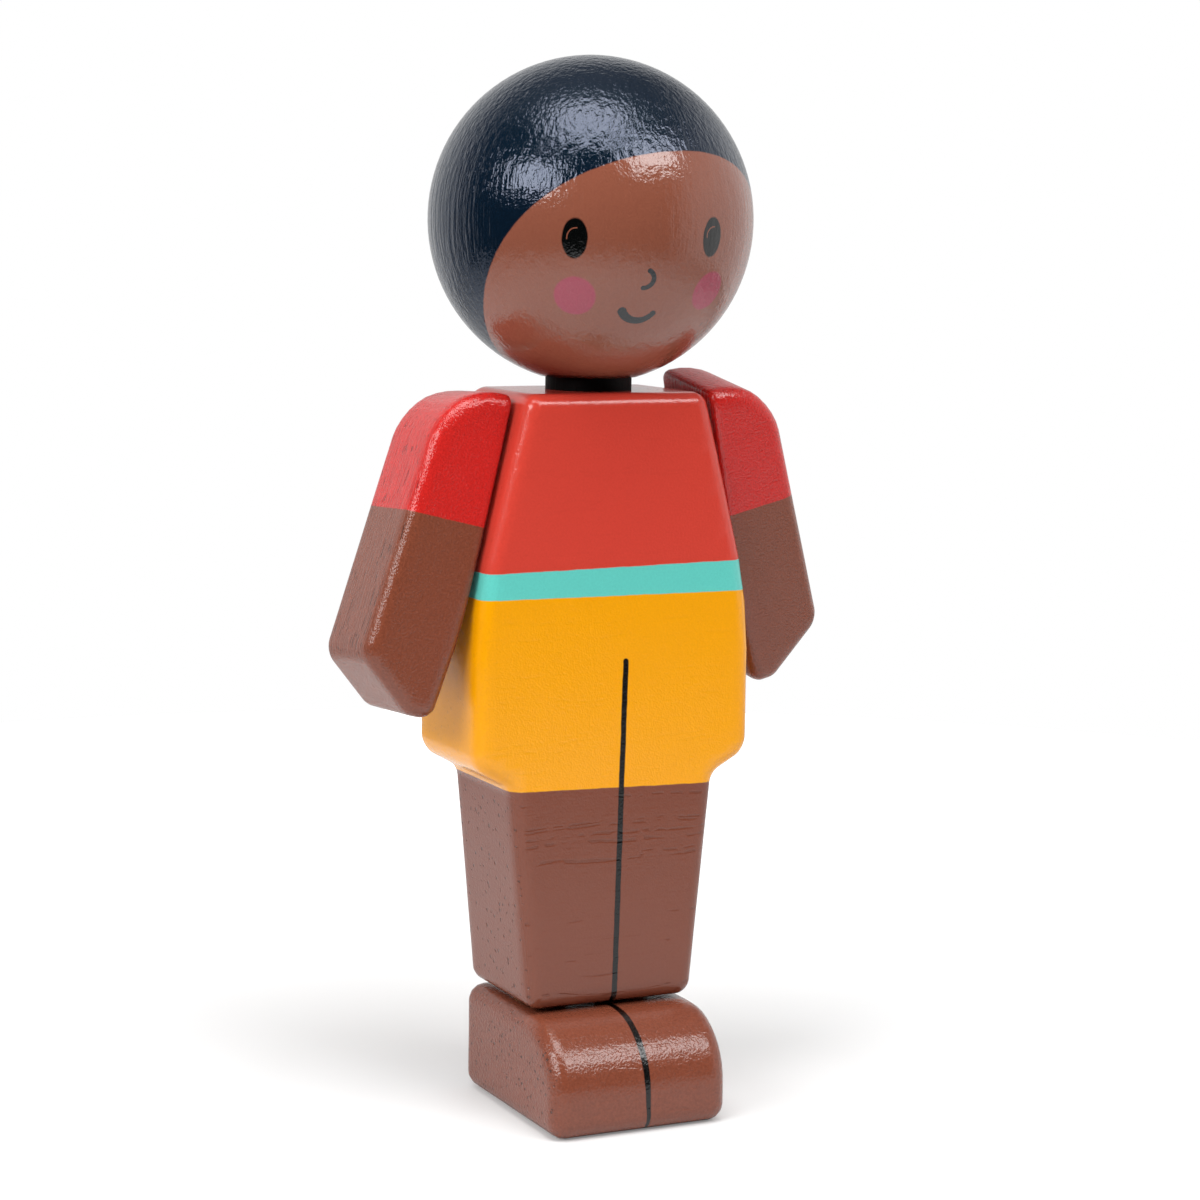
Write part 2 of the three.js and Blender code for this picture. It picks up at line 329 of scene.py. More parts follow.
@dataclass(frozen=True)
class EnamelledRubberwood:
    """Enamel brushed on sanded rubberwood.

    The paint film is thin, so the eye still finds the wood under it: fine streaks along the
    fibres, open vessels as specks on end grain and dashes on long grain, a fine speckle, and
    a gloss with a slight orange peel that is duller where the wood is rough.
    """

    name: str
    origin: Vector
    turn: Euler
    fibre: Fibre
    ior: float = 1.5
    roughness: float = 0.18
    rough_gain: float = 0.12
    streak_width: float = 0.3
    streak_length: float = 9.0
    streak_depth: float = 0.08
    streak_tint: float = 0.1
    streak_detail: float = 3.0
    pore_spacing: float = 0.6
    pore_length: float = 2.5
    pore_depth: float = 0.12
    pore_tint: float = 0.2
    smooth_share: float = 0.06
    peel_size: float = 0.6
    peel_depth: float = 0.012
    peel_detail: float = 2.0
    grit_size: float = 0.2
    grit_depth: float = 0.015
    grit_tint: float = 0.3
    grit_detail: float = 1.0
    drift_size: float = 5.0
    drift: float = 1.0
    brush_size: float = 1.43
    brush_detail: float = 3.0
    edge_wander: float = 0.12

    def place(self, tree: Tree) -> Socket:
        """Gives the place on the piece, in millimetres in the piece's own frame."""
        inputs = {
            "Vector": add(tree, "TexCoord").outputs["Object"],
            "Location": self.origin,
            "Rotation": self.turn,
            "Scale": (MM, MM, MM),
        }
        return add(tree, "Mapping", inputs, vector_type="TEXTURE").outputs[0]

    def along_fibres(self, tree: Tree, place: Socket, width: float, length: float) -> Socket:
        """Scales a place so that one unit is one figure of the grain.

        Args:
            tree: the node tree.
            place: the place on the piece.
            width: the figure's size across the fibres.
            length: the figure's size along the fibres.

        Returns:
            The scaled place.
        """
        rate = Vector((1 / width,) * 3)
        rate[self.fibre.value] = 1 / length
        return vector_calc(tree, "MULTIPLY", place, rate)[0]

    def wander(
        self, tree: Tree, place: Socket, size: float, reach: float, detail: float = 0.0
    ) -> Socket:
        """Shifts a place by a smooth random amount.

        Args:
            tree: the node tree.
            place: the place on the piece.
            size: how far apart the shifts change.
            reach: the span of the shift.
            detail: the number of finer shifts on top.

        Returns:
            The shifted place.
        """
        shake = ripple(tree, place, size, detail)[1]
        shake = vector_calc(tree, "SUBTRACT", shake, (0.5, 0.5, 0.5))[0]
        shake = add(tree, "VectorMath", {0: shake, 3: reach}, operation="SCALE").outputs[0]
        return vector_calc(tree, "ADD", place, shake)[0]

    def vessels(self, tree: Tree, place: Socket) -> Socket:
        """Masks the wood's open vessels: round on end grain, broken dashes along the fibres.

        Args:
            tree: the node tree.
            place: the place on the piece.

        Returns:
            1 inside a vessel and 0 outside it.
        """
        closed_share, widest, edge = 0.2, 0.3, 0.12
        gap_level, run_level = 0.42, 0.52
        parts = add(
            tree, "SeparateXYZ", {0: self.wander(tree, place, self.drift_size, self.drift)}
        ).outputs
        across = [parts[axis] for axis in range(3) if axis != self.fibre.value]
        section = add(tree, "CombineXYZ", dict(enumerate(across))).outputs[0]
        cells = add(
            tree,
            "TexVoronoi",
            {"Vector": section, "Scale": 1 / self.pore_spacing},
            voronoi_dimensions="2D",
        ).outputs
        chosen = add(tree, "SeparateColor", {0: cells["Color"]}).outputs[0]
        bore = ramp(tree, chosen, closed_share, 1.0, 0.0, widest)
        inside = ramp(tree, calc(tree, "SUBTRACT", bore, cells["Distance"]), 0.0, edge)
        grain = self.along_fibres(tree, place, self.pore_spacing, self.pore_length)
        runs = ramp(tree, ripple(tree, grain, 1.0, 0.0)[0], gap_level, run_level)
        return calc(tree, "MULTIPLY", inside, runs)

    def rough_faces(self, tree: Tree, place: Socket) -> Socket:
        """Masks the faces where the grain shows most: end grain, and the sawn sides of a block.

        Args:
            tree: the node tree.
            place: the place on the piece.

        Returns:
            1 on such a face, and the share that is left of the grain on a smooth one.
        """
        slanting, square_on = 0.6, 0.92
        normal = add(tree, "TexCoord").outputs["Normal"]
        facing = 0.0
        for axis in sorted({self.fibre.value, Fibre.ACROSS.value}):
            way = Matrix.Identity(3)[axis].copy()
            way.rotate(self.turn)
            along = calc(tree, "ABSOLUTE", vector_calc(tree, "DOT_PRODUCT", normal, way)[1])
            facing = calc(tree, "MAXIMUM", along, facing)
        return ramp(tree, facing, slanting, square_on, self.smooth_share)

    def coat(self, tree: Tree, place: Socket) -> Paint:
        """Lays the piece's colours; each piece has its own.

        Args:
            tree: the node tree.
            place: the place on the piece, with the brush's wander added.

        Returns:
            The paint's colour.
        """
        raise NotImplementedError

    def gloss(self, tree: Tree, place: Socket) -> Paint:
        """Gives the colour that the paint lends to what it mirrors: none, for most paints."""
        return linear(WHITE)

    def material(self) -> bpy.types.Material:
        """Builds the finish.

        Returns:
            The material.
        """
        material = bpy.data.materials.new(self.name)
        tree = blank_tree(material)
        place = self.place(tree)
        brushed = self.wander(tree, place, self.brush_size, self.edge_wander, self.brush_detail)

        rough = self.rough_faces(tree, place)
        pore = calc(tree, "MULTIPLY", self.vessels(tree, place), rough)
        grain = self.along_fibres(tree, place, self.streak_width, self.streak_length)
        streak = ripple(tree, grain, 1.0, self.streak_detail)[0]
        swing = calc(tree, "MULTIPLY", calc(tree, "SUBTRACT", streak, 0.5), rough)
        peel = ripple(tree, place, self.peel_size, self.peel_detail)[0]
        grit = ripple(tree, place, self.grit_size, self.grit_detail)[0]

        # A streak seldom swings by more than a quarter, so four times that is its full tint.
        shade = calc(tree, "MULTIPLY_ADD", swing, 4 * self.streak_tint, 1.0)
        dark = ramp(tree, pore, 0.0, 1.0, 1.0, 1 - self.pore_tint)
        shade = calc(tree, "MULTIPLY", shade, dark)
        half = self.grit_tint / 2
        speck = ramp(tree, grit, 0.0, 1.0, 1 - half, 1 + half)
        shade = calc(tree, "MULTIPLY", shade, speck)
        colour = add(
            tree,
            "Mix",
            {0: 1.0, 6: self.coat(tree, brushed), 7: shade},
            data_type="RGBA",
            blend_type="MULTIPLY",
        ).outputs[2]

        dull = ramp(tree, rough, 0.0, 1.0, self.roughness, self.roughness + self.rough_gain)
        relief = calc(tree, "MULTIPLY", swing, self.streak_depth)
        layers = ((pore, -self.pore_depth), (peel, self.peel_depth), (grit, self.grit_depth))
        for layer, depth in layers:
            relief = calc(tree, "MULTIPLY_ADD", layer, depth, relief)
        bump = add(tree, "Bump", {"Strength": 1.0, "Distance": MM, "Height": relief}).outputs[0]
        shader = add(
            tree,
            "BsdfPrincipled",
            {
                "Base Color": colour,
                "Roughness": dull,
                "IOR": self.ior,
                "Specular Tint": self.gloss(tree, brushed),
                "Normal": bump,
            },
        ).outputs[0]
        add(tree, "OutputMaterial", {0: shader})
        return material


def lay_band(tree: Tree, place: Socket, under: Paint, band: Band) -> Socket:
    """Paints everything above a line in one colour.

    Args:
        tree: the node tree.
        place: the place on the piece.
        under: the colour that is already there.
        band: the paint and its line.

    Returns:
        The colour with the band on it.
    """
    level = vector_calc(tree, "DOT_PRODUCT", place, (-band.tilt, 0.0, 1.0))[1]
    above = ramp(tree, level, band.height - BRUSH_EDGE, band.height + BRUSH_EDGE)
    return blend(tree, above, under, linear(band.colour))


def on_front(
    tree: Tree,
    place: Socket,
    seat: Matrix,
    scale: Place = (1.0, 1.0, 1.0),
    lowest: float = -FAR,
) -> Socket:
    """Gives a place in the frame of a mark that is painted on the front of a piece.

    Depth in front of the mark counts as none, and depth behind it keeps it off the back.

    Args:
        tree: the node tree.
        place: the place on the piece.
        seat: the mark's own frame on the piece: x across, z up, -y out of the surface.
        scale: the size of one unit in that frame.
        lowest: the z that everything lower counts as.

    Returns:
        The place from the mark.
    """
    inputs = {
        "Vector": place,
        "Location": seat.to_translation(),
        "Rotation": seat.to_euler(),
        "Scale": scale,
    }
    local = add(tree, "Mapping", inputs, vector_type="TEXTURE").outputs[0]
    return vector_calc(tree, "MAXIMUM", local, (-FAR, 0.0, lowest))[0]


def mask_spot(
    tree: Tree, place: Socket, seat: Matrix, width: float, height: float, edge: float = 0.05
) -> Socket:
    """Masks an oval that lies on the front of a piece.

    Args:
        tree: the node tree.
        place: the place on the piece.
        seat: the oval's own frame on the piece.
        width: half of its width.
        height: half of its height.
        edge: how soft its edge is, as a share of its size.

    Returns:
        1 inside the oval and 0 outside it.
    """
    local = on_front(tree, place, seat, (width, 1.0, height))
    return ramp(tree, vector_calc(tree, "LENGTH", local)[1], 1 + edge, 1 - edge)


def mask_arc(tree: Tree, place: Socket, seat: Matrix, stroke: Stroke) -> Socket:
    """Masks a brush stroke along an arc, with round ends.

    Args:
        tree: the node tree.
        place: the place on the piece.
        seat: the frame of the arc's centre.
        stroke: the stroke.

    Returns:
        1 inside the stroke and 0 outside it.
    """
    edge, tip_edge = 0.03, 0.1
    local = on_front(tree, place, seat)
    reach = vector_calc(tree, "LENGTH", local)[1]
    x, _, z = add(tree, "SeparateXYZ", {0: local}).outputs
    span = stroke.radius * math.sin(math.radians(stroke.half_angle))
    drop = stroke.radius * math.cos(math.radians(stroke.half_angle))
    half = ramp(tree, x, -span, span, stroke.starts, stroke.ends)
    off = calc(tree, "ABSOLUTE", calc(tree, "SUBTRACT", reach, stroke.radius))
    inside = ramp(tree, calc(tree, "SUBTRACT", half, off), -edge, edge)
    mask = calc(tree, "MULTIPLY", inside, ramp(tree, z, edge - drop, -edge - drop))
    for end, size in ((-span, stroke.starts), (span, stroke.ends)):
        tip_seat = seat @ Matrix.Translation((end, 0, -drop))
        tip = mask_spot(tree, place, tip_seat, size, size, tip_edge)
        mask = calc(tree, "MAXIMUM", mask, tip)
    return mask


@dataclass(frozen=True)
class BodyEnamel(EnamelledRubberwood):
    """Red shirt with a hem band, yellow shorts and brown legs, parted by one brushed line."""

    legs: str = "#743d2b"
    shorts: Band = Band("#eb9c00", 31.0, -0.022)
    hem: Band = Band("#5fc3b8", 48.83, -0.004)
    shirt: Band = Band("#c83f32", 51.45, 0.016)
    line: str = "#040303"
    line_place: float = 0.86
    line_top: float = 42.7
    line_lean: float = 1.22
    line_width: float = 0.56
    clothed_share: float = 0.15

    def rough_faces(self, tree: Tree, place: Socket) -> Socket:
        """Shows more of the grain on the legs, which have fewer coats than the clothes."""
        fade = 0.5
        faces = super().rough_faces(tree, place)
        height = add(tree, "SeparateXYZ", {0: place}).outputs[2]
        line = self.shorts.height
        bare = ramp(tree, height, line + fade, line - fade, self.clothed_share)
        return calc(tree, "MULTIPLY", faces, bare)

    def coat(self, tree: Tree, place: Socket) -> Socket:
        """Lays the bands from the ankles up, then the line between the legs."""
        colour = linear(self.legs)
        for band in (self.shorts, self.hem, self.shirt):
            colour = lay_band(tree, place, colour, band)
        top = Matrix.Translation((self.line_place, 0, self.line_top))
        seat = top @ rotation(self.line_lean, "Y")
        local = on_front(tree, place, seat, lowest=0.0)
        half = self.line_width / 2
        reach = vector_calc(tree, "LENGTH", local)[1]
        stroke = ramp(tree, reach, half + BRUSH_EDGE, half - BRUSH_EDGE)
        return blend(tree, stroke, colour, linear(self.line))


@dataclass(frozen=True)
class FootEnamel(EnamelledRubberwood):
    """Brown shoes in one, parted by a brushed line that thins towards the ground."""

    shoes: str = "#763e2c"
    line: str = "#040303"
    line_place: float = 0.3
    line_drift: float = 0.035
    line_width: float = 0.62
    line_foot_width: float = 0.32
    height: float = 10.2

    def coat(self, tree: Tree, place: Socket) -> Socket:
        """Lays the brown, then the line over the toe."""
        x, y, z = add(tree, "SeparateXYZ", {0: place}).outputs
        foot_place = self.line_place + self.line_drift * self.height
        drift = ramp(tree, z, self.height, 0.0, self.line_place, foot_place)
        half = ramp(tree, z, 0.0, self.height / 2, self.line_foot_width / 2, self.line_width / 2)
        off = calc(tree, "ABSOLUTE", calc(tree, "SUBTRACT", x, drift))
        stroke = ramp(tree, calc(tree, "SUBTRACT", half, off), -BRUSH_EDGE, BRUSH_EDGE)
        stroke = calc(tree, "MULTIPLY", stroke, calc(tree, "LESS_THAN", y, 0.0))
        return blend(tree, stroke, linear(self.shoes), linear(self.line))


@dataclass(frozen=True)
class ArmEnamel(EnamelledRubberwood):
    """A red sleeve over a brown arm and hand."""

    skin: str = "#783f2c"
    sleeve: str = "#be221e"
    cuff: float = 0.0

    def coat(self, tree: Tree, place: Socket) -> Socket:
        """Lays the brown, then the sleeve above its cuff."""
        return lay_band(tree, place, linear(self.skin), Band(self.sleeve, self.cuff))


@dataclass(frozen=True)
class HeadEnamel(EnamelledRubberwood):
    """A brown face with brushed features and cheeks, under a glossier blue-black cap of hair.

    Places on the ball are given as yaw and pitch, and as roll where a mark has one.
    """

    skin: str = "#844c3a"
    hair: str = "#051422"
    ink: str = "#040505"
    slate: str = "#14181d"
    hair_gloss: str = "#dde6ff"
    blush: str = "#9a394d"
    cheeks: tuple[Place, ...] = ((-31.3, -26.0), (24.7, -24.0))
    cheek_radius: float = 1.85
    cheek_edge: float = 0.06
    eyes: tuple[Place, ...] = ((-31.0, -5.75), (20.8, -4.9))
    eye_roll: float = 3.0
    eye_width: float = 1.15
    eye_height: float = 1.78
    glint: Stroke = Stroke(0.82, 52.0, 0.05, 0.05)
    glint_shift: Place = (0.12, 0.0, 0.1)
    glint_roll: float = 130.0
    nose: Stroke = Stroke(0.85, 78.0, 0.22, 0.23)
    nose_place: Place = (-5.6, -19.4, -75.0)
    mouth: Stroke = Stroke(1.7, 60.0, 0.42, 0.3)
    mouth_place: Place = (-5.7, -29.0, 4.0)
    face_share: float = 0.3
    hair_share: float = 0.9
    hair_place: Place = (9.2, -40.2)
    hair_reach: float = 6.07
    hair_edge: float = 0.06
    hair_wave: float = 0.337
    hair_waves: float = 3.0
    hair_phase: float = 26.8

    def seat(self, yaw: float, pitch: float, roll: float = 0.0) -> Matrix:
        """Gives the frame of a place on the ball.

        Args:
            yaw: degrees from straight ahead towards +x.
            pitch: degrees above the ball's middle.
            roll: degrees of turn about the way out of the ball.

        Returns:
            A frame with its origin at the ball's centre, -y out, x across and z up.
        """
        return rotation(yaw, "Z") @ rotation(-pitch, "X") @ rotation(roll, "Y")

    def coat(self, tree: Tree, place: Socket) -> Socket:
        """Lays the skin, cheeks, eyes, nose and mouth, then the hair."""
        paints = []
        radius = self.cheek_radius
        for cheek in self.cheeks:
            spot = mask_spot(tree, place, self.seat(*cheek), radius, radius, self.cheek_edge)
            paints.append((spot, self.blush))
        glint_turn = rotation(self.glint_roll, "Y")
        for eye in self.eyes:
            seat = self.seat(*eye, self.eye_roll)
            paints.append((mask_spot(tree, place, seat, self.eye_width, self.eye_height), self.ink))
            glint_seat = seat @ Matrix.Translation(self.glint_shift) @ glint_turn
            paints.append((mask_arc(tree, place, glint_seat, self.glint), self.skin))
        for seat, stroke in ((self.nose_place, self.nose), (self.mouth_place, self.mouth)):
            paints.append((mask_arc(tree, place, self.seat(*seat), stroke), self.slate))
        paints.append((self.hairline(tree, place), self.hair))
        colour = linear(self.skin)
        for mask, paint in paints:
            colour = blend(tree, mask, colour, linear(paint))
        return colour

    def rough_faces(self, tree: Tree, place: Socket) -> Socket:
        """Masks the hair, whose thick paint keeps the brush's strokes best."""
        hairline = self.hairline(tree, place)
        return ramp(tree, hairline, 0.0, 1.0, self.face_share, self.hair_share)

    def gloss(self, tree: Tree, place: Socket) -> Socket:
        """Gives the hair's gloss a blue cast, and the face's none."""
        return blend(tree, self.hairline(tree, place), linear(WHITE), linear(self.hair_gloss))

    def hairline(self, tree: Tree, place: Socket) -> Socket:
        """Masks the hair: all of the ball outside a slightly wavy circle round the face.

        Args:
            tree: the node tree.
            place: the place on the piece.

        Returns:
            1 on the hair and 0 on the face.
        """
        inputs = {"Vector": place, "Rotation": self.seat(*self.hair_place).to_euler()}
        local = add(tree, "Mapping", inputs, vector_type="TEXTURE").outputs[0]
        x, y, z = add(tree, "SeparateXYZ", {0: local}).outputs
        bearing = calc(tree, "ARCTAN2", x, z)
        phase = math.radians(self.hair_phase)
        wave = calc(tree, "COSINE", calc(tree, "MULTIPLY_ADD", bearing, self.hair_waves, phase))
        line = calc(tree, "MULTIPLY_ADD", wave, self.hair_wave, self.hair_reach)
        return ramp(tree, calc(tree, "ADD", line, y), -self.hair_edge, self.hair_edge)


@dataclass(frozen=True)
class OneColour(EnamelledRubberwood):
    """A finish of one colour all over, with the grain of the wood in it."""

    tone: str = WHITE

    def coat(self, tree: Tree, place: Socket) -> Colour:
        """Gives the colour."""
        return linear(self.tone)


@dataclass(frozen=True)
class NearBlackPeg(OneColour):
    """A birch peg in near-black, matt and nearly featureless. Its near-black is partly painted
    shade, for the deep shade under the head that it sits in.
    """

    tone: str = "#050506"


@dataclass(frozen=True)
class BareWood(OneColour):
    """Unpainted rubberwood inside the figure: pale straw with brown vessel lines."""

    tone: str = "#d8ba8d"


@dataclass(frozen=True)
class BraidedElastic(OneColour):
    """Braided cotton over rubber: off-white, matt, with the braid's small pits."""

    tone: str = "#e6e2d8"


def settle(
    shape: Shape,
    name: str,
    place: Matrix,
    finish: EnamelledRubberwood,
    body: str,
    node: str,
) -> bpy.types.Object:
    """Puts a finished shape in its place on the figure.

    Args:
        shape: the shape in millimetres, in its own frame.
        name: the piece's name.
        place: its own frame on the figure, in metres.
        finish: its finish.
        body: the CAD body it rides on.
        node: the CAD node it stands for.

    Returns:
        The piece.
    """
    bmesh.ops.transform(shape, matrix=place @ Matrix.Scale(MM, 4), verts=shape.verts)
    bmesh.ops.recalc_face_normals(shape, faces=shape.faces)
    for face in shape.faces:
        face.smooth = True
    mesh = bpy.data.meshes.new(name)
    shape.to_mesh(mesh)
    shape.free()
    mesh.materials.append(finish.material())
    piece = bpy.data.objects.new(name, mesh)
    bpy.context.scene.collection.objects.link(piece)
    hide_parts(node)
    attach(piece, body)
    mesh.calc_loop_triangles()
    LOG.info("%s: %d triangles on %s", name, len(mesh.loop_triangles), body)
    return piece


@dataclass
class Body:
    """Torso, hips and legs, sawn from one board and rounded over."""

    ankle_width: float = 16.8
    leg_top_width: float = 20.8
    leg_height: float = 21.0
    hip_step: float = 2.0
    hip_height: float = 14.2
    shoulder_width: float = 18.0
    edge_radius: float = 1.3
    ankle_radius: float = 1.5
    crotch_radius: float = 1.6
    hip_radius: float = 2.2
    waist_radius: float = 36.0
    shoulder_radius: float = 1.5

    def build(self) -> Shape:
        """Saws the board between the CAD board's own faces.

        Returns:
            The board in the figure's frame.
        """
        low, high = box_mm("body_block")
        hip = low.z + self.leg_height + self.hip_step
        half = [
            Corner(self.ankle_width / 2, low.z, self.ankle_radius),
            Corner(self.leg_top_width / 2, low.z + self.leg_height, self.crotch_radius),
            Corner(high.x, hip, self.hip_radius),
            Corner(high.x, hip + self.hip_height, self.waist_radius),
            Corner(self.shoulder_width / 2, high.z, self.shoulder_radius),
        ]
        outline = half + [Corner(-c.x, c.z, c.radius) for c in reversed(half)]
        shape = sawn_block(outline, outline, low.y, high.y)
        middle = (low.z + high.z) / 2
        for face in (low.y, high.y):
            round_rim(shape, Vector((0, face, middle)), self.edge_radius)
        hand_sand(shape)
        return shape

    def dress(self) -> None:
        """Places the painted board."""
        finish = BodyEnamel(
            "enamelled_rubberwood_body", Vector(), Euler(), Fibre.ACROSS,
            streak_depth=0.03, streak_tint=0.04, pore_spacing=0.75, pore_length=1.2,
            pore_depth=0.07, pore_tint=0.5, smooth_share=0.3, grit_tint=0.15,
        )
        settle(
            self.build(), "painted_body_block", Matrix(), finish,
            "body", "body_block",
        )


@dataclass
class Foot:
    """Both shoes as one block with a round toe."""

    toe_radius: float = 6.6
    corner_radius: float = 1.7
    edge_radius: float = 1.6

    def build(self) -> Shape:
        """Saws the block in its side view, whose x is the figure's y.

        Returns:
            The block in its side view's frame.
        """
        low, high = box_mm("foot_block")
        outline = [
            Corner(low.y, low.z, self.corner_radius),
            Corner(high.y, low.z, self.corner_radius),
            Corner(high.y, high.z, self.corner_radius),
            Corner(low.y, high.z, self.toe_radius),
        ]
        shape = sawn_block(outline, outline, low.x, high.x)
        middle = Vector(((low.y + high.y) / 2, 0, (low.z + high.z) / 2))
        for end in (low.x, high.x):
            round_rim(shape, middle + Vector((0, end, 0)), self.edge_radius)
        hand_sand(shape)
        return shape

    def dress(self) -> None:
        """Places the painted block under the legs."""
        finish = FootEnamel(
            "enamelled_rubberwood_foot", Vector(), Euler(), Fibre.ACROSS,
            pore_tint=0.65, smooth_share=0.1, peel_size=0.4, peel_depth=0.045, grit_tint=0.6,
        )
        sideways = rotation(90, "Z")
        settle(
            self.build(), "painted_foot_block", sideways, finish,
            "body", "foot_block",
        )


@dataclass
class Arm:
    """One arm block, flat against the body and free to swing on its cord."""

    side: Side
    name: str
    rise: float
    swing: float
    length: float = 30.2
    thickness: float = 10.0
    top_flat: float = 2.95
    shoulder_width: float = 6.8
    shoulder_drop: float = 3.05
    hand_width: float = 8.9
    tip_width: float = 3.3
    tip_height: float = 4.4
    inner_setback: float = 0.9
    inner_lean_height: float = 6.5
    cuff_drop: float = 12.3
    tip_radius: float = 1.4
    hand_radius: float = 2.2
    shoulder_radius: float = 6.2
    lean_radius: float = 8.0
    planed_radius: float = 1.4
    planed_off: float = 1.5
    front_radius: float = 1.25
    back_radius: float = 1.0
    inner_radius: float = 0.55
    back_fullness: float = 0.35
    bore_diameter: float = 5.0
    bore_depth: float = 5.7

    def outline(self, fullness: float) -> list[Corner]:
        """Gives the arm's outline, reaching past the flat inner face that is planed later.

        Args:
            fullness: how far the slope under the hand stands out.

        Returns:
            The corners, from the inner tip round to the inner face.
        """
        tip = self.rise - self.length
        slope = math.atan2(self.tip_height, self.hand_width - self.tip_width)
        knuckle = tip + self.tip_height - fullness / math.cos(slope)
        lean = self.inner_setback / self.inner_lean_height
        lean_top = tip + self.inner_lean_height + self.planed_off / lean
        return [
            Corner(self.inner_setback, tip, self.tip_radius),
            Corner(self.tip_width + fullness / math.sin(slope), tip, self.tip_radius),
            Corner(self.hand_width, knuckle, self.hand_radius),
            Corner(self.shoulder_width, self.rise - self.shoulder_drop, self.shoulder_radius),
            Corner(self.top_flat, self.rise, self.shoulder_radius),
            Corner(-self.planed_off, self.rise, self.planed_radius),
            Corner(-self.planed_off, lean_top, self.lean_radius),
        ]

    def build(self) -> Shape:
        """Saws the block, rounds it, planes its inner face and bores it for the cord.

        Returns:
            The arm in its own frame: x out from the body, z up, origin on the cord.
        """
        near, far = -self.thickness / 2, self.thickness / 2
        shape = sawn_block(self.outline(0.0), self.outline(self.back_fullness), near, far)
        middle = self.rise - self.length / 2
        round_rim(shape, Vector((0, near, middle)), self.front_radius)
        round_rim(shape, Vector((0, far, middle)), self.back_radius)
        geometry = [*shape.verts, *shape.edges, *shape.faces]
        bmesh.ops.bisect_plane(
            shape, geom=geometry, dist=MM, plane_co=(0, 0, 0), plane_no=(1, 0, 0), clear_inner=True
        )
        rim = [e for e in shape.edges if e.is_boundary]
        bmesh.ops.contextual_create(shape, geom=rim)
        bmesh.ops.recalc_face_normals(shape, faces=shape.faces)
        round_rim(shape, Vector((0, 0, self.rise / 2)), self.inner_radius, segments=3)
        self.bore(shape)
        hand_sand(shape)
        return shape

    def bore(self, shape: Shape) -> None:
        """Bores the inner face for the plug and knot.

        Args:
            shape: the arm, with its inner face as one flat face at x 0.
        """
        inwards, facets = -0.99, 32
        flat = max((f for f in shape.faces if f.normal.x < inwards), key=lambda f: f.calc_area())
        rim = list(flat.edges)
        bmesh.ops.delete(shape, geom=[flat], context="FACES_ONLY")
        upright = rotation(90, "Y")
        mouth = bmesh.ops.create_circle(
            shape, cap_ends=False, radius=self.bore_diameter / 2, segments=facets, matrix=upright
        )["verts"]
        circle = list({e for v in mouth for e in v.link_edges})
        bmesh.ops.triangle_fill(shape, edges=rim + circle, use_beauty=True)
        swept = bmesh.ops.extrude_edge_only(shape, edges=circle)["geom"]
        floor = [g for g in swept if isinstance(g, bmesh.types.BMVert)]
        bmesh.ops.translate(shape, verts=floor, vec=(self.bore_depth, 0, 0))
        floor_rim = [g for g in swept if isinstance(g, bmesh.types.BMEdge)]
        bmesh.ops.contextual_create(shape, geom=floor_rim)

    def frame(self, mirrored: bool) -> Matrix:
        """Gives the arm's own frame on the figure, from its joint.

        Args:
            mirrored: whether x points out from the body, which mirrors the right arm.

        Returns:
            The frame in metres.
        """
        joint = next(j for j in frame["joints"] if j["name"] == f"{self.name}_swing")
        axis = Vector(joint["axis"])
        outward = axis if axis.x * self.side.value > 0 else -axis
        across = outward if mirrored else outward * self.side.value
        upward = Vector((-abs(outward.z) * self.side.value, 0, abs(outward.x)))
        turn = Matrix((across, Vector((0, 1, 0)), upward)).transposed().to_4x4()
        return Matrix.Translation(joint["pos_m"]) @ turn @ rotation(self.swing, "X")

    def dress(self) -> None:
        """Places the painted arm at its shoulder."""
        seat = self.frame(mirrored=False)
        finish = ArmEnamel(
            f"enamelled_rubberwood_{self.name}",
            seat.to_translation(), seat.to_euler(), Fibre.UPRIGHT,
            streak_length=5.0, streak_tint=0.15, pore_spacing=0.36, pore_length=0.9,
            pore_tint=0.45, grit_depth=0.05, grit_tint=0.6, cuff=self.rise - self.cuff_drop,
        )
        settle(
            self.build(), f"painted_{self.name}", self.frame(mirrored=True), finish,
            self.name, self.name,
        )


